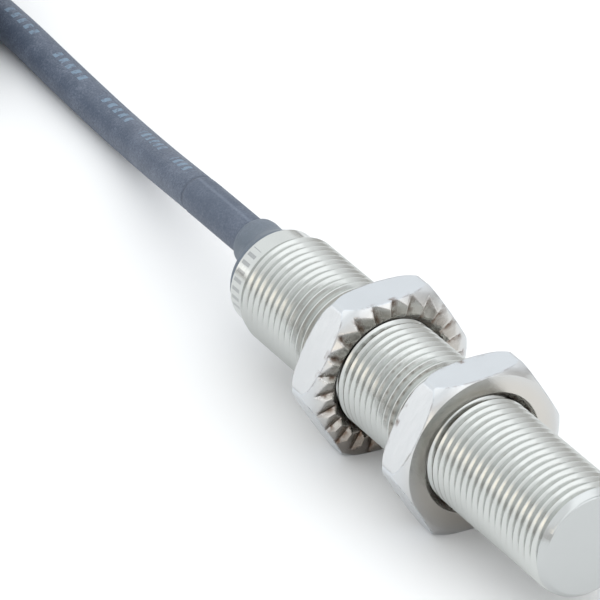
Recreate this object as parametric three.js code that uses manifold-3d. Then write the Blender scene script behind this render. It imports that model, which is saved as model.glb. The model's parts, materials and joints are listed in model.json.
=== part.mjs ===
// Flush-mount inductive proximity sensor with an M12 x 1 threaded barrel, two toothed fixing nuts and a fixed
// 2 m cable. Millimetres. The origin is the centre of the sensing face, +X points out of that face along the
// barrel, +Z is up, and the nuts stand on the plane z = -NUT_FLATS / 2.
import * as THREE from 'three';
import { mergeVertices } from 'three/addons/utils/BufferGeometryUtils.js';
import Module from 'manifold-3d';

const wasm = await Module();
wasm.setup();

// Driving dimensions: barrel
const THREAD_R = 5.97;          // crest of the M12 x 1 thread
const COLLAR_R = 5.38;          // plain rear collar, turned to the thread's root
const BORE_R = 4.7;
const FACE_R = 5.25;            // flat of the sensing face inside its lead chamfer
const LEAD = 0.7;               // length of that chamfer
const FACE_WALL = 0.6;          // metal left in front of the coil
const THREAD_END_X = -54.6;
const BARREL_END_X = -57;
const EDGE_CHAMFER = 0.3;

// Fixing nuts
const NUT_FLATS = 17;
const NUT_BODY = 4;             // thickness under the toothed ring
const NUT_BORE_R = 6.25;        // clears the thread crest, so the nut can travel
const NUT_CHAMFER_R = 8.45;     // where the 30 degree corner chamfer starts
const NUT_SINK_R = 6.6;         // countersink mouth on the plain side
const RING_TOP_R = 6.9;
const RING_FOOT_R = 8.35;
const RING_HEIGHT = 0.4;
const TOOTH_COUNT = 24;
const TOOTH_DEPTH = 0.42;
const TOOTH_STEEP = 0.25;       // share of a tooth's pitch taken by its steep side
const FRONT_NUT_X = -18.75;     // plain face of the front nut
const REAR_NUT_X = -35.2;       // rim of the rear nut's toothed side

// Cable and its outlet
const CABLE_R = 2.1;
const OUTLET_Y = 1.35;          // the cable leaves beside the barrel's axis
const OUTLET_Z = 0.55;
const OUTLET_X = -63.2;
const TABLE_Z = -NUT_FLATS / 2;
const GAP = 0.3;
const TIE_THICKNESS = 0.5;

// Hank of spare cable: oval turns side by side in columns and layers, round ends about two centres
const COLUMNS = [12.6, 16.85, 21.1];    // end radii of the turns, smallest bend three cable diameters
const LAYER_PITCH = 4.3;
const LAYERS = 3;
const HANK_X = -140.5;                   // centre of the round end nearest the sensor
const HANK_Y = 8.45 - COLUMNS[2];
const STRAIGHT = 54;

// Electronics
const BOARD = { x0: -5.7, x1: -41, halfWidth: 3.8, halfThickness: 0.4 };
const POT_END_X = -45.5;
const JACKET_START_X = -43.2;

const colours = {
  nickel: [0xc9cbc8, 0.3, 1], nut: [0xc6c9cb, 0.28, 1], grommet: [0x4b4f57, 0.6, 0], jacket: [0x5a6272, 0.65, 0],
  ferrite: [0x2b2a2c, 0.7, 0], bobbin: [0xe6e2d6, 0.5, 0], carrier: [0x20242a, 0.5, 0], copper: [0xb5652f, 0.35, 1],
  board: [0x1f6b3a, 0.5, 0], chip: [0x1b1c1e, 0.45, 0], ceramic: [0xa98f66, 0.5, 0], solder: [0xbfc1c2, 0.3, 1],
  led: [0xe8b53a, 0.3, 0], resin: [0x2a2d31, 0.4, 0], seal: [0x161616, 0.8, 0], clamp: [0xb9b2a0, 0.35, 1],
  brown: [0x6b3a20, 0.5, 0], blue: [0x2458b0, 0.5, 0], black: [0x1d1d1f, 0.5, 0], tie: [0x17181a, 0.6, 0],
};

const assembly = new THREE.Group();

function add(name, geometry, colour) {
  const [hex, roughness, metalness] = colours[colour];
  const material = new THREE.MeshStandardMaterial({ color: hex, roughness, metalness });
  const mesh = new THREE.Mesh(geometry, material);
  mesh.name = name;
  assembly.add(mesh);
  return mesh;
}

// Booleans: three.js geometry in, three.js geometry out
function solid(geometry) {
  const bare = geometry.clone();
  for (const key of Object.keys(bare.attributes)) {
    if (key !== 'position') bare.deleteAttribute(key);
  }
  const merged = mergeVertices(bare, 1e-4);
  return new wasm.Manifold(new wasm.Mesh({
    numProp: 3,
    vertProperties: new Float32Array(merged.attributes.position.array),
    triVerts: new Uint32Array(merged.index.array),
  }));
}

function geometryOf(manifold) {
  const mesh = manifold.getMesh();
  const geometry = new THREE.BufferGeometry();
  geometry.setAttribute('position', new THREE.BufferAttribute(new Float32Array(mesh.vertProperties), 3));
  geometry.setIndex(new THREE.BufferAttribute(new Uint32Array(mesh.triVerts), 1));
  return geometry;
}

const cut = (body, tools) => tools.reduce((left, tool) => left.subtract(solid(tool)), body);
const join = (parts) => parts.slice(1).reduce((sum, part) => sum.add(solid(part)), solid(parts[0]));

// A solid turned about the X axis from [x, r] points; the outer side is listed with x rising
function turned(points, segments = 64) {
  const profile = points.map(([x, r]) => new THREE.Vector2(r, x));
  if (points[0][1] > 0) profile.push(profile[0].clone());
  return new THREE.LatheGeometry(profile, segments).rotateZ(-Math.PI / 2);
}

const rod = (x0, x1, r, segments) => turned([[x0, 0], [x0, r], [x1, r], [x1, 0]], segments);
const tube = (x0, x1, inner, outer, segments) =>
  turned([[x0, inner], [x0, outer], [x1, outer], [x1, inner]], segments);

function block(x0, x1, y0, y1, z0, z1) {
  return new THREE.BoxGeometry(x1 - x0, y1 - y0, z1 - z0)
    .translate((x0 + x1) / 2, (y0 + y1) / 2, (z0 + z1) / 2);
}

// A round bar along a smooth curve through the given points
function bar(points, radius, steps, sides) {
  const curve = new THREE.CatmullRomCurve3(points.map((p) => new THREE.Vector3(...p)), false, 'centripetal');
  const section = new THREE.Shape();
  for (let i = 0; i < sides; i += 1) {
    const angle = (2 * Math.PI * (i + 0.5)) / sides;
    const corner = [radius * Math.cos(angle), radius * Math.sin(angle)];
    if (i === 0) section.moveTo(...corner);
    else section.lineTo(...corner);
  }
  section.closePath();
  return new THREE.ExtrudeGeometry(section, { steps, extrudePath: curve, curveSegments: 1 });
}

// Barrel with a closed front: thread shown at its crest, plain collar behind it
function makeBarrel() {
  add('housing_barrel', turned([
    [-FACE_WALL, 0], [-FACE_WALL, BORE_R], [BARREL_END_X, BORE_R], [BARREL_END_X, COLLAR_R - EDGE_CHAMFER],
    [BARREL_END_X + EDGE_CHAMFER, COLLAR_R], [THREAD_END_X, COLLAR_R],
    [THREAD_END_X + THREAD_R - COLLAR_R, THREAD_R], [-LEAD, THREAD_R], [0, FACE_R], [0, 0],
  ], 64), 'nickel');
}

// One fixing nut, teeth facing +X: rim of the toothed side at x = 0, plain face at x = -NUT_BODY
function hexagon() {
  const shape = new THREE.Shape();
  const corner = NUT_FLATS / Math.sqrt(3);
  for (let i = 0; i < 6; i += 1) {
    const angle = (i * Math.PI) / 3;
    if (i === 0) shape.moveTo(corner, 0);
    else shape.lineTo(corner * Math.cos(angle), corner * Math.sin(angle));
  }
  shape.closePath();
  return new THREE.ExtrudeGeometry(shape, { depth: NUT_BODY, bevelEnabled: false })
    .rotateX(Math.PI / 2).rotateZ(Math.PI / 2).translate(-NUT_BODY, 0, 0);
}

// Ratchet notch: a wedge lying along the radius, steep on one side
function notch(index) {
  const pitch = (2 * Math.PI) / TOOTH_COUNT;
  const reach = NUT_FLATS / 2 + 0.6;
  const width = RING_TOP_R * pitch;
  const shape = new THREE.Shape();
  shape.moveTo(0, RING_HEIGHT - TOOTH_DEPTH);
  shape.lineTo(width * TOOTH_STEEP, RING_HEIGHT + 0.01);
  shape.lineTo(width * TOOTH_STEEP, RING_HEIGHT + 1);
  shape.lineTo(-width * (1 - TOOTH_STEEP) * 0.9, RING_HEIGHT + 1);
  shape.lineTo(-width * (1 - TOOTH_STEEP) * 0.9, RING_HEIGHT + 0.01);
  shape.closePath();
  return new THREE.ExtrudeGeometry(shape, { depth: reach, bevelEnabled: false })
    .applyMatrix4(new THREE.Matrix4().set(0, 1, 0, 0, 1, 0, 0, 0, 0, 0, -1, 0, 0, 0, 0, 1))
    .rotateX(Math.PI + index * pitch);
}

function nutGeometry() {
  const flats = NUT_FLATS / 2;
  const tip = NUT_FLATS / Math.sqrt(3) + 0.2;
  const drop = (tip - NUT_CHAMFER_R) * Math.tan(Math.PI / 6);
  const envelope = turned([
    [-NUT_BODY, 0], [-NUT_BODY, NUT_CHAMFER_R], [-NUT_BODY + drop, tip], [-drop, tip], [0, NUT_CHAMFER_R], [0, 0],
  ], 48);
  const ring = turned([
    [-0.5, RING_TOP_R - 0.4], [-0.5, RING_FOOT_R], [0, RING_FOOT_R], [RING_HEIGHT, RING_TOP_R + 0.5],
    [RING_HEIGHT, RING_TOP_R - 0.4],
  ], 48);
  const sinkDepth = RING_TOP_R - NUT_BORE_R + RING_HEIGHT;
  const bore = turned([
    [-NUT_BODY - 1, 0], [-NUT_BODY - 1, NUT_SINK_R + 1], [-NUT_BODY + NUT_SINK_R - NUT_BORE_R, NUT_BORE_R],
    [-sinkDepth + RING_HEIGHT, NUT_BORE_R], [RING_HEIGHT, RING_TOP_R], [flats, RING_TOP_R], [flats, 0],
  ], 48);
  const body = solid(hexagon()).intersect(solid(envelope)).add(solid(ring)).subtract(solid(bore));
  const notches = Array.from({ length: TOOTH_COUNT }, (_, index) => notch(index));
  return geometryOf(cut(body, notches));
}

function makeNuts() {
  const geometry = nutGeometry();
  const rear = add('rear_nut', geometry, 'nut');
  rear.position.x = REAR_NUT_X;
  const front = add('front_nut', geometry.clone(), 'nut');
  front.position.x = FRONT_NUT_X - NUT_BODY;
  front.rotation.y = Math.PI;
}

// Coil end: pot core, bobbin and winding in a plastic carrier right behind the face wall
const CORE = { x0: -3.7, x1: -0.9, outer: 3.6, post: 1.5, wall: 0.6, floor: 0.8 };
const CARRIER = { floorFront: -4, x0: -5.4, outer: 4.4, inner: 3.9 };
const LEAD_Y = 2.2;
const LEAD_Z = 0.75;

function leadHoles(x0, x1) {
  return [-1, 1].map((side) => rod(x0, x1, 0.4, 8).translate(0, side * LEAD_Y, LEAD_Z));
}

function makeCoilEnd() {
  const core = turned([
    [CORE.x0, 0], [CORE.x0, CORE.outer], [CORE.x1, CORE.outer], [CORE.x1, CORE.outer - CORE.wall],
    [CORE.x0 + CORE.floor, CORE.outer - CORE.wall], [CORE.x0 + CORE.floor, CORE.post], [CORE.x1, CORE.post],
    [CORE.x1, 0],
  ], 32);
  add('ferrite_core', geometryOf(cut(solid(core), leadHoles(CORE.x0 - 1, CORE.x0 + CORE.floor + 0.5))), 'ferrite');

  const back = CORE.x0 + CORE.floor + 0.15;
  const front = CORE.x1 - 0.1;
  const flange = 0.2;
  const tubeR = CORE.post + 0.35;
  const bobbin = turned([
    [back, CORE.post + 0.15], [back, 2.85], [back + flange, 2.85], [back + flange, tubeR],
    [front - flange, tubeR], [front - flange, 2.85], [front, 2.85], [front, CORE.post + 0.15],
  ], 24);
  add('coil_bobbin', geometryOf(cut(solid(bobbin), leadHoles(back - 1, back + flange + 0.05))), 'bobbin');
  add('coil_winding', tube(back + flange + 0.15, front - flange - 0.15, tubeR + 0.1, 2.7, 24), 'copper');

  const cup = turned([
    [CARRIER.x0, 0], [CARRIER.x0, CARRIER.outer], [CORE.x1, CARRIER.outer], [CORE.x1, CARRIER.inner],
    [CARRIER.floorFront, CARRIER.inner], [CARRIER.floorFront, 0],
  ], 32);
  add('coil_carrier', geometryOf(cut(solid(cup), leadHoles(CARRIER.x0 - 1, CARRIER.floorFront + 1))), 'carrier');

  ['start', 'end'].forEach((end, index) => {
    const pin = rod(-7.3, back + flange, 0.15, 6);
    add(`coil_lead_${end}`, pin.translate(0, (index * 2 - 1) * LEAD_Y, LEAD_Z), 'copper');
  });
}

// Circuit board and what is soldered to it: [name, centre x, centre y, side, length, width, height, colour]
const TOP = 1;
const UNDER = -1;
const boardParts = [
  ['tuning_capacitor', -9.5, -1.6, TOP, 1.6, 0.9, 0.8, 'ceramic'],
  ['trim_resistor', -9.5, 1.6, TOP, 1.6, 0.9, 0.5, 'chip'],
  ['sensor_ic', -14.5, 0, TOP, 4, 4, 0.9, 'chip'],
  ['bypass_capacitor', -19, 0, TOP, 1.6, 0.9, 0.8, 'ceramic'],
  ['output_transistor', -23, 0, TOP, 2.9, 1.4, 1, 'chip'],
  ['protection_diode', -28, 0, TOP, 3.6, 1.8, 1.1, 'chip'],
  ['status_led', -33, 0, TOP, 1.6, 0.9, 0.7, 'led'],
  ['voltage_regulator', -16, 0, UNDER, 2.9, 1.6, 1.1, 'chip'],
  ['filter_capacitor', -23, 0, UNDER, 3.2, 1.6, 1.6, 'ceramic'],
  ['gain_resistor', -29, 0, UNDER, 1.6, 0.9, 0.5, 'chip'],
];
const SEAT = 0.1;               // solder stand-off under each component

function partBlock([, x, y, side, length, width, height], spare = 0) {
  const foot = BOARD.halfThickness + SEAT - spare;
  const [z0, z1] = side === TOP ? [foot, foot + height + 2 * spare] : [-foot - height - 2 * spare, -foot];
  return block(
    x - length / 2 - spare, x + length / 2 + spare, y - width / 2 - spare, y + width / 2 + spare, z0, z1,
  );
}

function makeBoard() {
  const { x0, x1, halfWidth, halfThickness } = BOARD;
  add('circuit_board', block(x1, x0, -halfWidth, halfWidth, -halfThickness, halfThickness), 'board');
  boardParts.forEach((part) => add(part[0], partBlock(part), part[7]));
}

// Three conductors: soldered to the board, bundled in the jacket, and bare again at the far end
const CORES = [['brown', 2.1], ['blue', 0], ['black', -2.1]];
const CORE_R = 0.55;
const PAD_X = -39;

function makeInnerWires() {
  CORES.forEach(([colour, y]) => {
    const z = BOARD.halfThickness + 0.3 + CORE_R + 0.35;
    const bundleY = OUTLET_Y + y * 0.42;
    const points = [
      [PAD_X + 0.5, y, z], [PAD_X - 1.2, y, z], [-42, (y + bundleY) / 2, (z + OUTLET_Z) / 2 + 0.1],
      [JACKET_START_X + GAP, bundleY, OUTLET_Z],
    ];
    add(`inner_wire_${colour}`, bar(points, CORE_R * 0.8, 6, 6), colour);
    const pad = turned([[-0.35, 0], [-0.35, 0.75], [0, 0.45], [0, 0]], 12).rotateY(-Math.PI / 2);
    add(`solder_joint_${colour}`, pad.translate(PAD_X, y, BOARD.halfThickness + 0.05 + 0.35), 'solder');
  });
}

// Casting resin behind the coil carrier, with room for everything it holds
function makePotting() {
  const slot = 0.25;
  const { x1, halfWidth, halfThickness } = BOARD;
  const holes = [
    block(x1 - slot, CARRIER.x0, -halfWidth - slot, halfWidth + slot, -halfThickness - slot, halfThickness + slot),
    block(-8, CARRIER.x0, -LEAD_Y - 0.6, LEAD_Y + 0.6, 0, LEAD_Z + 0.5),
    ...boardParts.map((part) => partBlock(part, 0.2)),
    block(PAD_X - 1.6, PAD_X + 1.2, -3.2, 3.2, 0, 2.4),
    block(POT_END_X + 1, PAD_X - 1, -2.9, 3.1, -0.6, 2.3),
    rod(POT_END_X - 1, JACKET_START_X + GAP, CABLE_R + GAP, 24).translate(0, OUTLET_Y, OUTLET_Z),
  ];
  const body = solid(rod(POT_END_X, CARRIER.x0 - GAP, BORE_R - GAP, 32));
  add('potting_compound', geometryOf(cut(body, holes)), 'resin');
}

// Cable outlet: clamp ring on the jacket, plug with its sealing ring, flared sleeve round the cable
const PLUG = { x0: -50.6, groove: [-54.4, -53], grooveR: 3.95 };

function makeOutlet() {
  const clamp = tube(-49.6, -47, CABLE_R + 0.15, CABLE_R + 0.75, 24);
  add('cable_clamp_ring', clamp.translate(0, OUTLET_Y, OUTLET_Z), 'clamp');

  const flangeX = BARREL_END_X - GAP;
  const plug = turned([
    [flangeX - 0.5, 0], [flangeX - 0.5, 4.95], [flangeX, 5.05], [flangeX, BORE_R - GAP],
    [PLUG.groove[0], BORE_R - GAP], [PLUG.groove[0], PLUG.grooveR], [PLUG.groove[1], PLUG.grooveR],
    [PLUG.groove[1], BORE_R - GAP], [PLUG.x0, BORE_R - GAP], [PLUG.x0, 0],
  ], 32);
  const flare = turned([[-4.4, 0], [-4.4, 2.75], [-3.2, 2.8], [-2, 3.45], [-1, 4.2], [0, 4.95], [0, 0]], 32);
  const lean = new THREE.Matrix4().makeShear(OUTLET_Y / -3.7, OUTLET_Z / -3.7, 0, 0, 0, 0);
  flare.applyMatrix4(lean).translate(flangeX - 0.4, 0, 0);
  const sleeve = turned([
    [OUTLET_X, 0], [OUTLET_X, 2.55], [OUTLET_X + 0.3, 2.8], [-60.4, 2.8], [-60.4, 0],
  ], 24).translate(0, OUTLET_Y, OUTLET_Z);
  const hole = rod(OUTLET_X - 1, PLUG.x0 + 1, CABLE_R + GAP, 24).translate(0, OUTLET_Y, OUTLET_Z);
  add('cable_grommet', geometryOf(join([plug, flare, sleeve]).subtract(solid(hole))), 'grommet');

  const ringR = 0.2;
  const centreX = (PLUG.groove[0] + PLUG.groove[1]) / 2;
  const section = Array.from({ length: 8 }, (_, i) => {
    const angle = (2 * Math.PI * i) / 8;
    return [centreX + ringR * Math.sin(angle), (PLUG.grooveR + BORE_R) / 2 + ringR * Math.cos(angle)];
  });
  add('outlet_seal_ring', turned(section, 32), 'seal');
}

// Cable: inside the outlet, free run, hank, and the stripped far end inside the hank
const cableRun = [
  [OUTLET_X - GAP, OUTLET_Y, OUTLET_Z], [-67, 1.38, 0.5], [-72, 1.62, 0.2], [-77, 2.3, -0.65],
  [-82, 3.35, -1.95], [-87, 4.55, -3.4], [-92, 5.7, -4.75], [-97, 6.6, -5.75], [-102, 7.1, -6.22],
  [-108, 7.45, -6.36], [-115, 7.8, -6.38], [-122.6, 8.2, -6.38], [-126.1, 8.3, -6.38],
];

const HANK_INNER = COLUMNS[0] - CABLE_R - 0.05;
const HANK_OUTER = COLUMNS[2] + CABLE_R + 0.05;
const HANK_TOP = TABLE_Z + (LAYERS - 1) * LAYER_PITCH + 2 * CABLE_R;

function oval(path, radius) {
  path.absarc(HANK_X, HANK_Y, radius, -Math.PI / 2, Math.PI / 2);
  path.absarc(HANK_X - STRAIGHT, HANK_Y, radius, Math.PI / 2, (3 * Math.PI) / 2);
  path.closePath();
  return path;
}

function makeHank() {
  const bevel = 1.2;
  const outline = oval(new THREE.Shape(), HANK_OUTER);
  outline.holes.push(oval(new THREE.Path(), HANK_INNER));
  const ring = new THREE.ExtrudeGeometry(outline, {
    depth: HANK_TOP - TABLE_Z - 2 * bevel, curveSegments: 18, bevelSegments: 1,
    bevelThickness: bevel, bevelSize: bevel, bevelOffset: -bevel,
  }).translate(0, 0, TABLE_Z + bevel);
  const middle = HANK_X - STRAIGHT / 2;
  const near = HANK_Y + HANK_INNER - GAP;
  const far = HANK_Y + HANK_OUTER + GAP;
  const squeezed = block(middle - 2.3, middle + 2.3, near, far, TABLE_Z - 1, TABLE_Z + TIE_THICKNESS + GAP);
  add('cable_coil', geometryOf(solid(ring).subtract(solid(squeezed))), 'jacket');

  const strap = TIE_THICKNESS;
  const outside = block(middle - 2, middle + 2, near - strap, far + strap, TABLE_Z, HANK_TOP + GAP + strap);
  const inside = block(middle - 3, middle + 3, near, far, TABLE_Z + strap, HANK_TOP + GAP);
  add('coil_tie', geometryOf(solid(outside).subtract(solid(inside))), 'tie');
}

// The far end comes down inside the hank: [along +X from the far round end, away from the middle, height]
const inHank = ([along, aside, z]) => [HANK_X - STRAIGHT + along, HANK_Y - aside, z];
const tailRoute = [
  [15.5, 7.4, 0], [19, 5.6, -1.6], [25, 3, -4.3], [31, 1.4, -6], [34, 1, -6.38],
];
const LEAD_START = 34.4;
const LEAD_END = 56;
const TIP_END = 61.5;

function makeFarEnd() {
  add('cable_tail', bar(tailRoute.map(inHank), CABLE_R, 8, 10), 'jacket');
  CORES.forEach(([colour], index) => {
    const spread = index - 1;
    const rise = spread === 0 ? 0.75 : -0.55;
    const points = [
      [LEAD_START, 1 + spread * 0.62, -6.38 + rise], [38, 0.9 + spread * 1.1, -6.9 + rise * 0.5],
      [44, 0.6 + spread * 2.3, -7.8], [50, 0.3 + spread * 3.6, -7.85], [LEAD_END, spread * 4.2, -7.9],
    ];
    add(`lead_${colour}`, bar(points.map(inHank), CORE_R, 10, 6), colour);
    const tip = [[LEAD_END + 0.3, spread * 4.22, -7.9], [TIP_END, spread * 4.6, -7.9]];
    add(`lead_tip_${colour}`, bar(tip.map(inHank), 0.33, 2, 6), 'solder');
  });
}

function makeCable() {
  const entry = rod(OUTLET_X, JACKET_START_X, CABLE_R, 20).translate(0, OUTLET_Y, OUTLET_Z);
  add('cable_entry', entry, 'jacket');
  add('cable_run', bar(cableRun, CABLE_R, 12, 10), 'jacket');
  makeHank();
  makeFarEnd();
}

makeBarrel();
makeNuts();
makeCoilEnd();
makeBoard();
makeInnerWires();
makePotting();
makeOutlet();
makeCable();

export default assembly;
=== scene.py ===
import json
import math

import bpy
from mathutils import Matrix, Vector


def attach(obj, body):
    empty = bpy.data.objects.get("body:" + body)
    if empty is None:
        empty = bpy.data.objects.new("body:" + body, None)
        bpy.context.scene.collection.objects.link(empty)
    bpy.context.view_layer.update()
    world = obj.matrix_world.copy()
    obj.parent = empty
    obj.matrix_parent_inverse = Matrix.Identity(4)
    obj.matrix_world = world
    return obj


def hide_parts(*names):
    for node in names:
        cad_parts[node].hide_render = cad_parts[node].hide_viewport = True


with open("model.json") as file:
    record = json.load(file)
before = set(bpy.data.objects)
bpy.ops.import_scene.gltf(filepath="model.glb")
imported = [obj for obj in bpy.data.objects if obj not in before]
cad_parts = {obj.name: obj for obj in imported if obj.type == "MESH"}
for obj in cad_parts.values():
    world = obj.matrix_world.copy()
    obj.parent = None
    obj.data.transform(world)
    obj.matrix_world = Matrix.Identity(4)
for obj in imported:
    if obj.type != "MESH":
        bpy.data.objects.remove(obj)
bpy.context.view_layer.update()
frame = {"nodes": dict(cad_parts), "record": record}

# Everything is in millimetres and turned into metres by MM. The origin is at the sensing face, +X points out
# of it along the barrel, +Z points up, and the table lies below the nuts.
MM = 0.001
TAU = 2 * math.pi
SLOPE_30 = math.tan(math.pi / 6)        # rise of a 30 degree chamfer or thread flank
TABLE_Z = -8.5

PITCH = 1.0
CREST_R = 5.97
ROOT_R = 5.36
COLLAR_R = 5.38
FACE_R = 5.25
FACE_CHAMFER = 0.7                      # length of the lead chamfer
BORE_R = 4.7
BARREL_END = -57.0
THREAD_END = -54.6

HALF_FLATS = 8.5                        # 17 mm across the flats
NUT_THICK = 4.0
NUT_BORE = 6.03
FRONT_NUT_X = -18.75                    # plain face of the front nut
REAR_NUT_X = -35.2                      # rim of the rear nut's teeth
RING_TOP = 6.9                          # radius where the toothed rim is highest
RING_FOOT = 7.8                         # the toothed side's 30 degree chamfer starts here
RING_HEIGHT = 0.36
CHAMFER_R = 8.45                        # the plain side's 30 degree chamfer starts here
PLAIN_SINK_R = 6.6                      # radius of the countersink in the plain side
CORNER_ROUND = 0.7
TEETH = 24
FIRST_GULLET = math.radians(-1.5)
STEEP = 0.25                            # share of a tooth taken by its steep side
GULLET = -0.14
GULLET_FALL = 0.08                      # the gullets drop outwards, so that the notches reach the flats

OUTLET = (-63.2, 1.35, 0.55)            # where the cable leaves the outlet's sleeve
CABLE_R = 2.1
SLEEVE_END = 11.7                       # along the cable from the outlet


# ---------------------------------------------------------------- mesh helpers

def link_object(name, data):
    obj = bpy.data.objects.new(name, data)
    bpy.context.scene.collection.objects.link(obj)
    return obj


def raw_mesh(name, verts, faces):
    """A bare object from vertices in millimetres."""
    mesh = bpy.data.meshes.new(name)
    mesh.from_pydata([(x * MM, y * MM, z * MM) for x, y, z in verts], [], faces)
    mesh.update()
    return link_object(name, mesh)


def finish_piece(obj, body, nodes, sharp):
    """Smooth shading with edges sharper than `sharp` degrees kept, and the piece's place in the frame."""
    mesh = obj.data
    mesh.polygons.foreach_set("use_smooth", [True] * len(mesh.polygons))
    mesh.set_sharp_from_angle(angle=math.radians(sharp))
    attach(obj, body)
    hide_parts(*nodes)


def make_object(name, verts, faces, body, nodes, sharp, uvs=None):
    obj = raw_mesh(name, verts, faces)
    finish_piece(obj, body, nodes, sharp)
    if uvs is not None:
        layer = obj.data.uv_layers.new(name="run")
        flat = [value for face_uv in uvs for pair in face_uv for value in pair]
        layer.data.foreach_set("uv", flat)
    return obj


def ring_faces(rings, sides, closed=True):
    """Quads between neighbouring rings of `sides` vertices; closed joins the last ring to the first."""
    faces = []
    for i in range(rings if closed else rings - 1):
        k = (i + 1) % rings
        for j in range(sides):
            n = (j + 1) % sides
            faces.append((i * sides + j, i * sides + n, k * sides + n, k * sides + j))
    return faces


def revolve(profile, segments):
    """Verts and faces of a closed outline of (x, r) points turned about the X axis."""
    verts = []
    for x, r in profile:
        for j in range(segments):
            a = TAU * j / segments
            verts.append((x, r * math.cos(a), r * math.sin(a)))
    return verts, ring_faces(len(profile), segments)


def boolean_mesh(first, second, operation):
    """The evaluated mesh of first (operation) second; both helpers are removed."""
    step = first.modifiers.new("step", "BOOLEAN")
    step.operation = operation
    step.solver = "EXACT"
    step.object = second
    graph = bpy.context.evaluated_depsgraph_get()
    mesh = bpy.data.meshes.new_from_object(first.evaluated_get(graph))
    for helper in (first, second):
        bpy.data.objects.remove(helper)
    return mesh


SPAN_STEPS = 40                         # points worked out between two given ones


def catmull(points, step):
    """Points about every `step` along a centripetal Catmull-Rom curve through the given ones."""
    pts = [Vector(p) for p in points]
    ends = [2 * pts[0] - pts[1]] + pts + [2 * pts[-1] - pts[-2]]
    fine = []
    for i in range(1, len(ends) - 2):
        p0, p1, p2, p3 = ends[i - 1:i + 3]
        t0 = 0.0
        t1 = t0 + (p1 - p0).length ** 0.5
        t2 = t1 + (p2 - p1).length ** 0.5
        t3 = t2 + (p3 - p2).length ** 0.5
        for k in range(SPAN_STEPS):
            t = t1 + (t2 - t1) * k / SPAN_STEPS
            a1 = p0 * ((t1 - t) / (t1 - t0)) + p1 * ((t - t0) / (t1 - t0))
            a2 = p1 * ((t2 - t) / (t2 - t1)) + p2 * ((t - t1) / (t2 - t1))
            a3 = p2 * ((t3 - t) / (t3 - t2)) + p3 * ((t - t2) / (t3 - t2))
            b1 = a1 * ((t2 - t) / (t2 - t0)) + a2 * ((t - t0) / (t2 - t0))
            b2 = a2 * ((t3 - t) / (t3 - t1)) + a3 * ((t - t1) / (t3 - t1))
            fine.append(b1 * ((t2 - t) / (t2 - t1)) + b2 * ((t - t1) / (t2 - t1)))
    fine.append(pts[-1])
    return resample(fine, step)


def resample(points, step):
    """The same line with its points evenly spaced, about `step` apart."""
    lengths = [0.0]
    for a, b in zip(points, points[1:]):
        lengths.append(lengths[-1] + (b - a).length)
    count = max(2, round(lengths[-1] / step))
    out, i = [], 0
    for k in range(count + 1):
        want = lengths[-1] * k / count
        while i < len(points) - 2 and lengths[i + 1] < want:
            i += 1
        span = lengths[i + 1] - lengths[i]
        out.append(points[i].lerp(points[i + 1], (want - lengths[i]) / span if span else 0))
    return out


def sweep(path, radius, sides):
    """A closed round tube along path, with the distance along it and the share round it as UVs.

    radius is a number or a function of the distance along the path.
    """
    verts, uvs, marks = [], [], []
    travelled = 0.0
    for i, p in enumerate(path):
        ahead = path[min(i + 1, len(path) - 1)] - path[max(i - 1, 0)]
        t = ahead.normalized()
        side = Vector((0, 0, 1)).cross(t).normalized()
        top = t.cross(side)
        if i:
            travelled += (p - path[i - 1]).length
        marks.append(travelled)
        r = radius(travelled) if callable(radius) else radius
        for j in range(sides):
            a = TAU * j / sides
            verts.append(tuple(p + side * (r * math.cos(a)) + top * (r * math.sin(a))))
    faces = ring_faces(len(path), sides, closed=False)
    for near, far in zip(marks, marks[1:]):
        for j in range(sides):
            v0, v1 = j / sides, (j + 1) / sides
            uvs.append([(near, v0), (near, v1), (far, v1), (far, v0)])
    for ring, flip in ((0, True), (len(path) - 1, False)):
        loop = [ring * sides + j for j in range(sides)]
        faces.append(tuple(reversed(loop)) if flip else tuple(loop))
        uvs.append([(marks[ring], 0.0)] * sides)
    return verts, faces, uvs


def smooth(a, b, x):
    """0 up to a, 1 from b on, and an even S between them."""
    u = min(1.0, max(0.0, (x - a) / (b - a)))
    return u * u * (3 - 2 * u)


# ---------------------------------------------------------------- procedural materials

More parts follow.
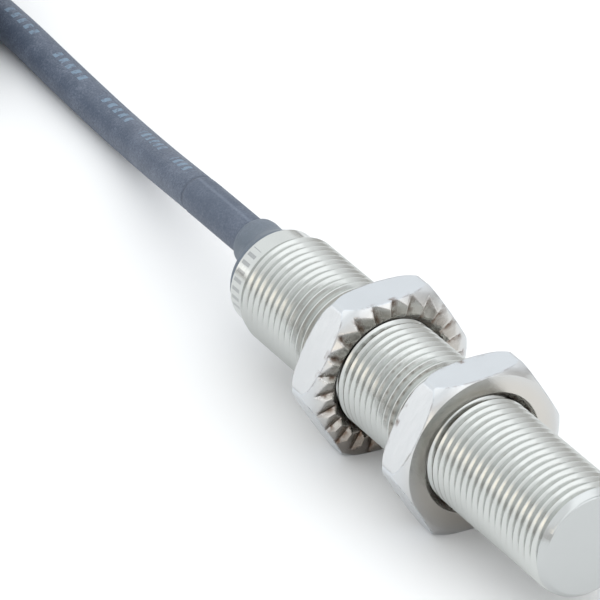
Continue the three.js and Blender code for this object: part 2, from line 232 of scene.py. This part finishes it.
class Looks:
    """A material of nodes: place is the object coordinate in millimetres, uv the run along a swept piece."""

    def __init__(self, name):
        self.material = bpy.data.materials.new(name)
        self.material.use_nodes = True
        self.tree = self.material.node_tree
        self.shader = self.tree.nodes["Principled BSDF"]
        coords = self.tree.nodes.new("ShaderNodeTexCoord")
        scaled = self.tree.nodes.new("ShaderNodeVectorMath")
        scaled.operation = "SCALE"
        scaled.inputs["Scale"].default_value = 1000
        self.tree.links.new(coords.outputs["Object"], scaled.inputs[0])
        self.place = scaled.outputs[0]
        self.uv = coords.outputs["UV"]

    def feed(self, socket, value):
        if isinstance(value, bpy.types.NodeSocket):
            self.tree.links.new(value, socket)
        else:
            socket.default_value = value

    def math(self, operation, *values):
        node = self.tree.nodes.new("ShaderNodeMath")
        node.operation = operation
        for socket, value in zip(node.inputs, values):
            self.feed(socket, value)
        return node.outputs[0]

    def split(self, vector):
        node = self.tree.nodes.new("ShaderNodeSeparateXYZ")
        self.feed(node.inputs[0], vector)
        return node.outputs

    def product(self, first, *others):
        for value in others:
            first = self.math("MULTIPLY", first, value)
        return first

    def from_axis(self, y, z):
        """Distance from the barrel's axis."""
        return self.math("SQRT", self.math("ADD", self.product(y, y), self.product(z, z)))

    def off(self, value, centre):
        """How far value is from centre, either way."""
        return self.math("ABSOLUTE", self.math("SUBTRACT", value, centre))

    def noise(self, scale, detail=4.0, rough=0.6, stretch=None):
        where = self.place
        if stretch is not None:
            node = self.tree.nodes.new("ShaderNodeVectorMath")
            node.operation = "MULTIPLY"
            self.feed(node.inputs[0], where)
            node.inputs[1].default_value = stretch
            where = node.outputs[0]
        node = self.tree.nodes.new("ShaderNodeTexNoise")
        self.feed(node.inputs["Vector"], where)
        node.inputs["Scale"].default_value = scale
        node.inputs["Detail"].default_value = detail
        node.inputs["Roughness"].default_value = rough
        return node.outputs["Fac"]

    def ramp(self, value, low, high, to_low=0.0, to_high=1.0):
        """Smooth step from to_low at low to to_high at high."""
        node = self.tree.nodes.new("ShaderNodeMapRange")
        node.interpolation_type = "SMOOTHSTEP"
        self.feed(node.inputs["Value"], value)
        for name, number in zip(("From Min", "From Max", "To Min", "To Max"), (low, high, to_low, to_high)):
            self.feed(node.inputs[name], number)
        return node.outputs[0]

    def mix(self, amount, a, b):
        node = self.tree.nodes.new("ShaderNodeMix")
        node.data_type = "RGBA"
        self.feed(node.inputs[0], amount)
        for socket, value in ((node.inputs[6], a), (node.inputs[7], b)):
            self.feed(socket, value if isinstance(value, bpy.types.NodeSocket) else (*value, 1.0))
        return node.outputs[2]

    def bump(self, height, distance, strength, rounding=0.0):
        node = self.tree.nodes.new("ShaderNodeBump")
        self.feed(node.inputs["Height"], height)
        node.inputs["Distance"].default_value = distance * MM
        node.inputs["Strength"].default_value = strength
        if rounding:
            edge = self.tree.nodes.new("ShaderNodeBevel")
            edge.samples = 4
            edge.inputs["Radius"].default_value = rounding * MM
            self.feed(node.inputs["Normal"], edge.outputs[0])
        self.feed(self.shader.inputs["Normal"], node.outputs[0])

    def set(self, **values):
        for name, value in values.items():
            socket = self.shader.inputs[name.replace("_", " ")]
            if isinstance(value, tuple) and len(value) == 3:
                value = (*value, 1.0)
            self.feed(socket, value)


def plated_metal(name, light, tarnish, rough, rounding, depth):
    """Nickel plate with faint streaks and a slow cloud in its tone. Dirt, and in the nuts also a painted
    dark edge reflection, is laid on and set by the darkening helper below.
    """
    m = Looks(name)
    cloud = m.noise(0.16, 5.0, 0.62)
    turned = m.noise(6.0, 2.0, 0.5, stretch=(1.0, 0.12, 0.12))
    m.colour = m.mix(m.ramp(cloud, 0.3, 0.7, 0.0, 0.5), light, tuple(0.93 * c for c in light))
    m.roughness = m.ramp(turned, 0.3, 0.7, rough - 0.03, rough + 0.05)
    m.tarnish = tarnish
    m.bump(turned, depth, 0.2, rounding)
    return m


def darken(m, place, amount, low, high):
    """The dark tone where `place` is 1, broken up by noise between low and high. Dirt, and in the nuts also
    a painted dark reflection along the edges of the flats.
    """
    cover = m.ramp(m.noise(1.1, 4.0, 0.7), low, high)
    dark_share = m.product(place, cover, amount)
    m.colour = m.mix(dark_share, m.colour, m.tarnish)
    m.roughness = m.math("ADD", m.roughness, m.math("MULTIPLY", dark_share, 0.25))
    m.set(Base_Color=m.colour, Metallic=1.0, Roughness=m.roughness)


def plain_solid(name, base, rough, grain=6.0, depth=0.02, metallic=0.0):
    """One tone with a slow 15 percent change in it and a fine grain."""
    m = Looks(name)
    wide = m.noise(0.5)
    fine = m.noise(grain)
    colour = m.mix(m.ramp(wide, 0.3, 0.7), base, tuple(min(1.0, c * 1.15) for c in base))
    m.set(Base_Color=colour, Metallic=metallic, Roughness=m.ramp(fine, 0.3, 0.7, rough - 0.06, rough + 0.08))
    m.bump(fine, depth, 0.5)
    return m


def dusty(m, base, dust, amount):
    """The base tone under a dusting, partly in clouds and mostly in specks."""
    wide = m.noise(0.35, 5.0, 0.65)
    fine = m.noise(4.5, 4.0, 0.75)
    cover = m.ramp(m.math("ADD", m.product(wide, 0.35), m.product(fine, 0.65)), 0.42, 0.70)
    return m.mix(m.product(cover, amount), base, dust)


def barrel_metal():
    plate, tarnish = (0.575, 0.59, 0.575), (0.20, 0.13, 0.085)
    m = plated_metal("nickel_thread", plate, tarnish, 0.18, 0.04, 0.004)
    x, y, z = m.split(m.place)
    # The turned front is a little darker than the plated thread
    front = m.math("GREATER_THAN", x, -FACE_CHAMFER - 0.02)
    m.colour = m.mix(m.product(front, 0.85), m.colour, (0.50, 0.515, 0.515))
    # Dirt in the grooves of the thread
    threaded = m.product(m.math("LESS_THAN", x, -1.0), m.math("GREATER_THAN", x, THREAD_END))
    groove = m.product(m.ramp(m.from_axis(y, z), CREST_R - 0.1, ROOT_R), threaded)
    darken(m, groove, 0.35, 0.48, 0.74)
    # Generic bars printed round the plain collar, in three groups
    turn = m.math("DIVIDE", m.math("ARCTAN2", z, y), TAU)
    bars = m.math("LESS_THAN", m.math("FRACT", m.product(turn, 34.0)), 0.42)
    groups = m.math("LESS_THAN", m.math("FRACT", m.product(turn, 3.0)), 0.62)
    band = m.product(m.math("LESS_THAN", x, -55.15), m.math("GREATER_THAN", x, -56.45))
    m.set(Base_Color=m.mix(m.product(bars, groups, band, 0.55), m.colour, (0.22, 0.23, 0.24)))
    return m.material


def nut_metal(name, rim, outward):
    """Metal of one nut whose toothed side has its rim at x = rim and faces `outward` along X."""
    m = plated_metal(name, (0.585, 0.61, 0.635), (0.15, 0.095, 0.065), 0.22, 0.10, 0.002)
    x, y, z = m.split(m.place)
    radius = m.from_axis(y, z)
    above_rim = m.product(m.math("SUBTRACT", x, rim), outward)
    toothed = m.math("GREATER_THAN", above_rim, -0.6)
    across = m.math("ABSOLUTE", z)
    for side in (-1, 1):
        slant = m.math("ADD", m.product(z, 0.5), m.product(y, side * math.cos(math.pi / 6)))
        across = m.math("MAXIMUM", across, m.math("ABSOLUTE", slant))
    ends = m.ramp(across, HALF_FLATS - 0.03, HALF_FLATS - 0.12)
    # A warm handled tone over the two ends, strongest round the bore
    handled = m.product(m.ramp(radius, 9.4, 7.0, 0.2, 0.9), ends)
    m.colour = m.mix(handled, m.colour, (0.61, 0.58, 0.535))
    # Painted shade: the ends of each nut darken towards the underside, more on the toothed side
    shade_towards_bottom = m.product(m.ramp(z, 1.0, -7.0), ends)
    underside_shade = m.product(shade_towards_bottom, shade_towards_bottom, m.math("ADD", 0.3, m.product(toothed, 0.45)))
    m.colour = m.mix(underside_shade, m.colour, (0.12, 0.09, 0.065))
    # Dirt in the gullets and in the bore, and a painted dark reflection along the edges of the flats
    turn = m.math("ARCTAN2", z, m.product(y, outward))
    share = m.math("FRACT", m.math("DIVIDE", m.math("SUBTRACT", turn, FIRST_GULLET), TAU / TEETH))
    foot = m.math("MAXIMUM", m.ramp(share, 0.24, 0.02), m.ramp(share, 0.66, 0.99))
    gullets = m.product(foot, toothed, m.ramp(radius, 9.0, 8.3))
    lean = m.product(radius, SLOPE_30)
    plain_edge = m.off(m.math("ADD", above_rim, NUT_THICK + CHAMFER_R * SLOPE_30), lean)
    tooth_edge = m.off(m.math("ADD", above_rim, lean), RING_HEIGHT + RING_FOOT * SLOPE_30)
    # Painted dark reflection: a thin dark line along the chamfer edges of the flats
    edge_reflection = m.product(m.ramp(m.math("MINIMUM", plain_edge, tooth_edge), 0.16, 0.03),
                      m.ramp(across, HALF_FLATS - 0.14, HALF_FLATS - 0.01))
    gullet_dirt_and_edge_reflection = m.math("MAXIMUM", gullets, m.product(edge_reflection, 0.4))
    darken(m, m.math("MAXIMUM", gullet_dirt_and_edge_reflection, m.ramp(radius, 6.6, 6.15)), 0.95, 0.36, 0.62)
    return m.material


def jacket_material():
    m = Looks("jacket")
    along, around, _ = m.split(m.uv)
    sleeve = m.math("LESS_THAN", along, SLEEVE_END)
    dust = m.math("SUBTRACT", 0.75, m.product(sleeve, 0.3))
    tone = dusty(m, (0.067, 0.087, 0.126), (0.19, 0.22, 0.28), dust)
    # A faint lighter line along the top of the sleeve, and a dirty groove at its end
    sleeve_top_line = m.product(m.ramp(m.off(around, 0.238), 0.02, 0.004), sleeve)
    tone = m.mix(m.product(sleeve_top_line, 0.22), tone, (0.25, 0.29, 0.36))
    gap = m.product(m.ramp(m.off(along, SLEEVE_END), 0.5, 0.1), m.ramp(m.noise(1.2), 0.3, 0.6, 0.12, 0.5))
    tone = m.mix(gap, tone, (0.035, 0.045, 0.065))
    # Generic dashes in groups along the top, partly rubbed off
    line = m.math("LESS_THAN", m.off(around, 0.245), 0.042)
    groups = m.product(m.math("LESS_THAN", m.math("FRACT", m.math("DIVIDE", along, 11.5)), 0.66),
                       m.math("GREATER_THAN", along, SLEEVE_END + 2))
    strokes = m.math("LESS_THAN", m.math("FRACT", m.math("DIVIDE", along, 1.45)), 0.5)
    rubbed = m.ramp(m.noise(1.6, 4.0, 0.7), 0.34, 0.52)
    ink = m.product(line, groups, strokes, rubbed, 0.8)
    shine = m.ramp(m.noise(4.0), 0.3, 0.7, 0.48, 0.68)
    m.set(Base_Color=m.mix(ink, tone, (0.18, 0.265, 0.355)), Roughness=shine)
    m.bump(m.noise(9.0), 0.03, 0.6)
    return m.material


def grommet_material():
    m = Looks("grommet")
    m.set(Base_Color=dusty(m, (0.105, 0.130, 0.162), (0.18, 0.21, 0.26), 0.6), Roughness=0.5)
    m.bump(m.noise(7.0), 0.03, 0.5)
    return m.material


def paint(obj, material):
    obj.data.materials.clear()
    obj.data.materials.append(material)


# ---------------------------------------------------------------- barrel

def thread_solid():
    """Right-handed M12 x 1 thread as one closed body, longer than the barrel at both ends."""
    flank = (CREST_R - ROOT_R) * math.tan(math.radians(30))
    half_crest = 0.0625
    foot = half_crest + flank
    edge, low = CREST_R - 0.012, ROOT_R + 0.02          # the crest's and the root's rounded edges
    profile = [
        (-half_crest, edge), (-half_crest * 0.45, CREST_R), (half_crest * 0.45, CREST_R), (half_crest, edge),
        (foot, low), (foot + 0.05, ROOT_R), (PITCH - foot - 0.05, ROOT_R), (PITCH - foot, low),
    ]
    segments, turns = 96, 61
    start = -59 + 0.052
    rows = [(start + k * PITCH + dx, r) for k in range(turns) for dx, r in profile]
    verts, faces = [], []
    for x, r in rows:
        for j in range(segments):
            at = x + PITCH * j / segments
            run_out = max(0.0, (THREAD_END + 0.25 - at) * 2.0)
            a = TAU * j / segments
            radius = min(r + run_out, 7.0)
            verts.append((at, radius * math.cos(a), radius * math.sin(a)))
    per_turn = len(profile)
    usable = len(rows) - per_turn

    def vert(i, j):
        """After one turn a row carries on as the row one pitch further on."""
        return (i + per_turn) * segments if j == segments else i * segments + j

    for i in range(usable - 1):
        for j in range(segments):
            faces.append((vert(i, j), vert(i, j + 1), vert(i + 1, j + 1), vert(i + 1, j)))
    for end, outward in ((0, False), (usable - 1, True)):
        hub = len(verts)
        verts.append((rows[end][0] + 0.5 * PITCH, 0.0, 0.0))
        loop = [vert(end, j) for j in range(segments + 1)]
        loop += [vert(end + k, 0) for k in range(per_turn - 1, -1, -1)]
        for a, b in zip(loop, loop[1:]):
            faces.append((hub, a, b) if outward else (hub, b, a))
    return raw_mesh("thread_helper", verts, faces)


def make_barrel():
    over = CREST_R + 0.02
    shell = revolve([
        (-0.6, 0.001), (-0.6, BORE_R), (BARREL_END, BORE_R), (BARREL_END, COLLAR_R - 0.3),
        (BARREL_END + 0.3, COLLAR_R), (THREAD_END, COLLAR_R), (THREAD_END + 0.6, over),
        (-FACE_CHAMFER, over), (0.0, FACE_R), (0.0, 0.001),
    ], 96)
    mesh = boolean_mesh(thread_solid(), raw_mesh("shell_helper", *shell), "INTERSECT")
    mesh.name = "sensor_barrel"
    barrel = link_object("sensor_barrel", mesh)
    finish_piece(barrel, "sensor", ("housing_barrel",), 28)
    paint(barrel, barrel_metal())


# ---------------------------------------------------------------- fixing nuts

def hex_radius(angle):
    """Distance from the axis to the side of the hexagon, its corners slightly rounded."""
    third = math.pi / 3
    off = (angle + third / 2) % third - third / 2        # angle from the nearest corner
    centre = (HALF_FLATS - CORNER_ROUND) / math.cos(math.pi / 6)
    edge = math.atan2(CORNER_ROUND * 0.5, centre + CORNER_ROUND * math.cos(math.pi / 6))
    if abs(off) < edge:
        across = centre * math.sin(off)
        return centre * math.cos(off) + math.sqrt(CORNER_ROUND ** 2 - across ** 2)
    return HALF_FLATS / math.cos(math.pi / 6 - abs(off))


def corner_drop(r):
    """The hexagon's tips are tumbled round where they meet the chamfer."""
    return 0.9 * max(0.0, r - 9.0) ** 2


def toothed_height(r, angle):
    """Height of the toothed side over its rim plane: the turned blank, or the notch where that is lower."""
    pitch = TAU / TEETH
    u = ((angle - FIRST_GULLET) / pitch) % 1.0           # 0 at the gullet, STEEP at the crest
    share = u / STEEP if u < STEEP else (1 - u) / (1 - STEEP)
    gullet = GULLET - GULLET_FALL * max(0.0, r - RING_FOOT)
    notch = gullet + (RING_HEIGHT + 0.02 - gullet) * share
    sink = max(0.0, RING_TOP - r)
    chamfer = max(0.0, r - RING_FOOT) * SLOPE_30
    blank = RING_HEIGHT - sink - chamfer - corner_drop(r)
    return min(blank, notch) if r > NUT_BORE + 0.3 else blank


def plain_height(r, _angle):
    """The same for the plain side, which is countersunk at the bore."""
    sink = max(0.0, PLAIN_SINK_R - r)
    chamfer = max(0.0, r - CHAMFER_R) * SLOPE_30
    return -NUT_THICK + sink + chamfer + corner_drop(r)


def make_nut(name, x_rim, outward, body, node):
    """A fixing nut whose toothed side has its rim at x_rim and faces `outward` along X."""
    per_tooth = [STEEP * share for share in (0, 0.24, 0.5, 0.76, 1)]
    per_tooth += [STEEP + (1 - STEEP) * k / 14 for k in range(1, 14)]
    angles = [FIRST_GULLET + TAU * (t + u) / TEETH for t in range(TEETH) for u in per_tooth]
    plain = [NUT_BORE, 6.3, PLAIN_SINK_R, PLAIN_SINK_R + 0.04, 7.2, 7.8, 8.3]
    toothed = [NUT_BORE, 6.25, 6.5, 6.7, RING_TOP - 0.02]
    toothed += [RING_TOP + (RING_FOOT - RING_TOP) * k / 8 for k in range(9)]
    toothed += [RING_FOOT + (CHAMFER_R - 0.05 - RING_FOOT) * k / 6 for k in range(1, 7)]
    flats = [0.0, 0.04, 0.15, 0.35, 0.6, 0.85, 1.0]      # shares of the way from CHAMFER_R to the hexagon

    def row(height, radii):
        return [(height(r, a), r * math.cos(a), r * math.sin(a)) for r, a in zip(radii, angles)]

    def round_row(height, r):
        return row(height, [r] * len(angles))

    def flat_row(height, share):
        return row(height, [CHAMFER_R + share * (hex_radius(a) - CHAMFER_R) for a in angles])

    rows = [round_row(plain_height, r) for r in plain] + [flat_row(plain_height, share) for share in flats]
    rows += [flat_row(toothed_height, share) for share in reversed(flats)]
    rows += [round_row(toothed_height, r) for r in reversed(toothed)]
    verts = [(x_rim + outward * x, outward * y, z) for ring in rows for x, y, z in ring]
    faces = ring_faces(len(rows), len(angles))
    nut = make_object(name, verts, faces, body, (node,), 24)
    paint(nut, nut_metal("nickel_" + node, x_rim, outward))


def make_nuts():
    make_nut("rear_fixing_nut", REAR_NUT_X, 1.0, "rear_nut_body", "rear_nut")
    make_nut("front_fixing_nut", FRONT_NUT_X - NUT_THICK, -1.0, "front_nut_body", "front_nut")


# ---------------------------------------------------------------- cable outlet

def make_grommet():
    """Rings of (x, radius, y and z of the centre): plug with its seal groove, tapered boot, sleeve, bore."""
    y, z = OUTLET[1:]
    rings = [
        (-50.6, 4.4, 0, 0), (-53.0, 4.4, 0, 0), (-53.05, 3.95, 0, 0), (-54.35, 3.95, 0, 0),
        (-54.4, 4.4, 0, 0), (-57.02, 4.4, 0, 0), (-57.05, 4.98, 0, 0), (-57.2, 5.05, 0, 0),
        (-57.55, 4.95, 0.02, 0), (-57.9, 4.75, 0.05, 0), (-58.4, 4.42, 0.25, 0.04),
        (-59.0, 4.0, 0.5, 0.1), (-59.5, 3.62, 0.7, 0.18), (-60.0, 3.3, 0.9, 0.25),
        (-60.5, 3.05, 1.06, 0.36), (-61.0, 2.88, 1.2, 0.45), (-61.6, 2.79, 1.29, 0.52),
        (-62.3, 2.75, y, z), (-62.8, 2.68, y, z), (-63.1, 2.5, y, z), (-63.2, 2.3, y, z),
        (-63.15, 2.16, y, z), (-60.0, 2.14, y, z), (-50.6, 2.14, y, z),
    ]
    sides = 64
    verts = [
        (x, cy + r * math.cos(TAU * j / sides), cz + r * math.sin(TAU * j / sides))
        for x, r, cy, cz in rings for j in range(sides)
    ]
    faces = [(a, d, c, b) for a, b, c, d in ring_faces(len(rings), sides)]      # the rings run towards -X
    boot = make_object("outlet_grommet", verts, faces, "sensor", ("cable_grommet",), 50)
    paint(boot, grommet_material())


# ---------------------------------------------------------------- cable

LYING = -6.38                           # height of the centre of a cable that lies on the table
CABLE_STEP = 1.1
COLUMNS = [12.6, 16.85, 21.1]           # end radii of the hank's turns, from the inside out
LAYERS = [LYING, -2.08, 2.2]
STRAIGHT = 54.0
HANK_X = -140.5                         # the near end of the straights
HANK_Y = 8.45 - COLUMNS[2]
TIE_X = HANK_X - STRAIGHT / 2
TIE_LIFT = 0.6                          # the turns rise this much at the strap, which passes below them
ORDER = [(2, 0), (1, 0), (0, 0), (0, 1), (1, 1), (2, 1), (2, 2), (1, 2), (0, 2)]
SHIFT = 0.0475                          # share of a lap each turn is short: crossings lie side by side
MOVE = 0.13                             # share of a lap in which a turn moves over to its next place
LAPS = 8.5

# From the outlet down to the table and along it to the hank
RUN = [
    OUTLET, (-67, 1.38, 0.5), (-72, 1.62, 0.2), (-77, 2.3, -0.65), (-82, 3.35, -1.95), (-87, 4.55, -3.4),
    (-92, 5.7, -4.75), (-97, 6.6, -5.75), (-102, 7.1, -6.22), (-108, 7.45, -6.36), (-115, 7.8, LYING),
    (-122.6, 8.2, LYING), (-126.1, 8.3, LYING), (-133, 8.43, LYING), (HANK_X, 8.45, LYING),
]


def oval_point(radius, lap):
    """A point on the oval of this end radius; it starts along the +Y straight, towards -X."""
    part, along = divmod((lap % 1.0) * 4, 1.0)
    if part == 0:
        return HANK_X - STRAIGHT * along, HANK_Y + radius
    if part == 2:
        return HANK_X - STRAIGHT * (1 - along), HANK_Y - radius
    centre = HANK_X - STRAIGHT if part == 1 else HANK_X
    a = math.radians((90 if part == 1 else 270) + 180 * along)
    return centre + radius * math.cos(a), HANK_Y + radius * math.sin(a)


def hank_point(lap):
    """The turns take the places of ORDER, each a column and a layer, one after the other."""
    cell = min(len(ORDER) - 1, int(lap / (1 - SHIFT)))
    r, z = COLUMNS[ORDER[cell][0]], LAYERS[ORDER[cell][1]]
    if cell + 1 < len(ORDER):
        s = smooth(1 - SHIFT - MOVE, 1 - SHIFT, lap - cell * (1 - SHIFT))
        r += (COLUMNS[ORDER[cell + 1][0]] - r) * s
        z += (LAYERS[ORDER[cell + 1][1]] - z) * s
    x, y = oval_point(r, lap)
    if y > HANK_Y:
        z += TIE_LIFT * (1 - smooth(2.0, 16.0, abs(x - TIE_X)))
    return Vector((x, y, z))


def in_hank(along, aside, z):
    """A point this far from the far end of the straights and to the -Y side of the hank's middle."""
    return (HANK_X - STRAIGHT + along, HANK_Y - aside, z)


def cable_path():
    run = catmull(RUN, CABLE_STEP)
    hank = [hank_point(LAPS * k / 2000) for k in range(1, 2001)]
    down = catmull([
        in_hank(0, COLUMNS[0], LAYERS[2]), in_hank(7, 10.9, 2.1), in_hank(13, 8.4, 0.9),
        in_hank(19, 5.6, -1.6), in_hank(25, 3, -4.3), in_hank(31, 1.4, -6), in_hank(34, 1, LYING),
    ], CABLE_STEP)
    return run + hank + down[1:]


CORE_TONES = {"brown": (0.16, 0.065, 0.03), "blue": (0.02, 0.09, 0.36), "black": (0.015, 0.015, 0.017)}


def make_leads():
    """Three conductors that spread from the end of the jacket, each with a tinned end."""
    tinned = plain_solid("tinned_strands", (0.62, 0.61, 0.58), 0.35, 9.0, 0.05, 1.0).material
    made = []
    for spread, (colour, tone) in zip((-1, 0, 1), CORE_TONES.items()):
        rise = 0.75 if spread == 0 else -0.55
        stripped = in_hank(56, spread * 4.2, -7.9)
        lead = catmull([
            in_hank(34, 1 + spread * 0.62, LYING + rise), in_hank(38, 0.9 + spread * 1.1, -6.9 + rise * 0.5),
            in_hank(44, 0.6 + spread * 2.3, -7.8), in_hank(50, 0.3 + spread * 3.6, -7.85), stripped,
        ], 0.9)
        tip = catmull([stripped, in_hank(61.5, spread * 4.6, -7.9)], 0.5)
        verts, faces, _ = sweep(lead, 0.55, 16)
        slot, node = "core_" + colour, "lead_" + colour
        core = make_object("core_lead_" + colour, verts, faces, "sensor", (node,), 50)
        paint(core, plain_solid(slot, tone, 0.4).material)
        verts, faces, _ = sweep(tip, lambda d: 0.34 - 0.1 * smooth(4.7, 5.5, d), 12)
        node = "lead_tip_" + colour
        strands = make_object("tinned_end_" + colour, verts, faces, "sensor", (node,), 50)
        paint(strands, tinned)
        made += [core, strands]
    return made


def make_tie():
    """A flat strap round the bundle."""
    inner, outer = COLUMNS[0] - CABLE_R - 0.1, COLUMNS[-1] + CABLE_R + 0.1
    low, high = TABLE_Z + 0.55, LAYERS[-1] + TIE_LIFT + CABLE_R + 0.05
    thick, half_width, corner = 0.5, 1.8, 1.7
    corners = [(outer - corner, low + corner, -90), (outer - corner, high - corner, 0),
               (inner + corner, high - corner, 90), (inner + corner, low + corner, 180)]
    section = [(corner, -half_width), (corner, half_width),
               (corner + thick, half_width), (corner + thick, -half_width)]
    verts = []
    for cy, cz, start in corners:
        for k in range(9):
            a = math.radians(start + 90 * k / 8)
            for r, x in section:
                verts.append((TIE_X + x, HANK_Y + cy + r * math.cos(a), cz + r * math.sin(a)))
    faces = ring_faces(len(verts) // len(section), len(section))
    strap = make_object("tie_strap", verts, faces, "sensor", ("coil_tie",), 40)
    paint(strap, plain_solid("tie", (0.02, 0.02, 0.022), 0.42).material)
    return strap


def jacket_radius(along):
    """The outlet's thin sleeve lies over the first stretch of jacket and ends at a shallow groove."""
    sleeve = 0.04 * (1 - smooth(SLEEVE_END - 0.3, SLEEVE_END, along))
    groove = 0.08 * (1 - smooth(0.05, 0.4, abs(along - SLEEVE_END)))
    return CABLE_R + sleeve - groove


def make_cable():
    line = resample(cable_path(), CABLE_STEP)
    line = resample(line[:16], 0.15) + line[16:]        # fine rings where the sleeve ends
    verts, faces, uvs = sweep(line, jacket_radius, 20)
    cable = make_object(
        "cable", verts, faces, "sensor", ("cable_run", "cable_coil", "cable_tail"), 50, uvs)
    paint(cable, jacket_material())
    going = make_leads() + [make_tie()]


# ---------------------------------------------------------------- what the barrel holds

def paint_inside():
    """Give each CAD mesh that is still shown the look of its material slot."""
    looks = {
        "ferrite": plain_solid("ferrite", (0.02, 0.019, 0.02), 0.6),
        "bobbin_plastic": plain_solid("bobbin", (0.72, 0.69, 0.58), 0.45),
        "carrier_plastic": plain_solid("carrier", (0.012, 0.016, 0.02), 0.45),
        "copper_wire": plain_solid("copper", (0.72, 0.30, 0.13), 0.32, 12.0, 0.04, 1.0),
        "board_laminate": plain_solid("laminate", (0.01, 0.12, 0.035), 0.4),
        "chip_epoxy": plain_solid("epoxy", (0.014, 0.014, 0.015), 0.5),
        "capacitor_ceramic": plain_solid("ceramic", (0.36, 0.25, 0.13), 0.5),
        "solder": plain_solid("solder", (0.7, 0.7, 0.68), 0.3, 6.0, 0.03, 1.0),
        "led_lens": plain_solid("led", (0.78, 0.50, 0.08), 0.25),
        "casting_resin": plain_solid("resin", (0.018, 0.02, 0.024), 0.3),
        "seal_rubber": plain_solid("seal", (0.01, 0.01, 0.01), 0.55),
        "clamp_metal": plain_solid("clamp", (0.6, 0.57, 0.5), 0.35, 6.0, 0.03, 1.0),
        "cable_jacket": plain_solid("jacket_inside", (0.07, 0.085, 0.11), 0.55),
    }
    for colour, tone in CORE_TONES.items():
        looks["core_" + colour] = plain_solid("wire_" + colour, tone, 0.4)
    for part in frame["record"]["subparts"]:
        node = frame["nodes"][part["node"]]
        if not node.hide_render:
            paint(node, looks[part["material_slot"]].material)


# ---------------------------------------------------------------- studio

LIGHT_AIM = Vector((-0.03, 0, 0))       # metres, like every size and place of the lights


def area_light(name, place, width, height, power, colour):
    data = bpy.data.lights.new(name, "AREA")
    data.shape = "RECTANGLE"
    data.size, data.size_y = width, height
    data.energy = power
    data.color = colour
    lamp = link_object(name, data)
    lamp.location = place
    lamp.rotation_euler = (LIGHT_AIM - Vector(place)).to_track_quat("-Z", "Y").to_euler()


# Tent round the table: (height of the direction, radiance, colour)
TENT = [
    (0.00, 0.62, (1.0, 0.98, 0.95)), (0.12, 0.66, (1.0, 0.985, 0.96)), (0.18, 0.80, (0.98, 0.98, 0.98)),
    (0.30, 1.22, (0.97, 0.985, 1.0)), (0.68, 1.22, (0.96, 0.985, 1.0)), (0.90, 1.65, (0.97, 0.99, 1.0)),
]
TENT_PEAK = 1.65


def make_tent():
    world = bpy.data.worlds.new("studio")
    bpy.context.scene.world = world
    world.use_nodes = True
    tree = world.node_tree
    background = tree.nodes["Background"]
    where = tree.nodes.new("ShaderNodeTexCoord")
    parts = tree.nodes.new("ShaderNodeSeparateXYZ")
    tent = tree.nodes.new("ShaderNodeValToRGB")
    stops = tent.color_ramp.elements
    while len(stops) < len(TENT):
        stops.new(0.5)
    for stop, (height, radiance, colour) in zip(stops, TENT):
        stop.position = height
        stop.color = (*(c * radiance / TENT_PEAK for c in colour), 1)
    tree.links.new(where.outputs["Generated"], parts.inputs[0])
    tree.links.new(parts.outputs[2], tent.inputs["Fac"])
    tree.links.new(tent.outputs["Color"], background.inputs["Color"])
    background.inputs["Strength"].default_value = TENT_PEAK


def make_floor():
    outline = ((-1600, -1200), (1000, -1200), (1000, 1200), (-1600, 1200))
    floor = raw_mesh("floor", [(x, y, TABLE_Z) for x, y in outline], [(0, 1, 2, 3)])
    m = Looks("floor")
    tone = m.mix(m.ramp(m.noise(0.02), 0.3, 0.7), (0.87, 0.87, 0.87), (0.89, 0.89, 0.89))
    m.set(Base_Color=tone, Roughness=0.7)
    paint(floor, m.material)


def make_studio():
    view = bpy.context.scene.view_settings
    view.view_transform = "Standard"
    view.exposure = 0.0
    make_tent()
    area_light("left_box", (-0.50, -0.52, 0.13), 0.45, 0.12, 0.15, (1.0, 0.985, 0.96))
    area_light("low_strip", (0.90, -0.33, 0.045), 0.56, 0.23, 0.47, (1.0, 0.90, 0.76))
    area_light("front_box", (0.60, 0.25, 0.34), 0.46, 0.46, 0.33, (0.97, 0.985, 1.0))
    make_floor()


def make_camera():
    data = bpy.data.cameras.new("camera")
    data.lens = 360.6
    data.sensor_width = 36.0
    data.clip_start, data.clip_end = 0.05, 10.0
    camera = link_object("camera", data)
    camera.location = Vector((383.25, -270.43, 319.37)) * MM
    aim = Vector((-51.75, -0.24, 0.0)) * MM
    camera.rotation_euler = (aim - camera.location).to_track_quat("-Z", "Y").to_euler()
    bpy.context.scene.camera = camera


make_camera()
make_cable()
make_barrel()
make_nuts()
make_grommet()
paint_inside()
make_studio()
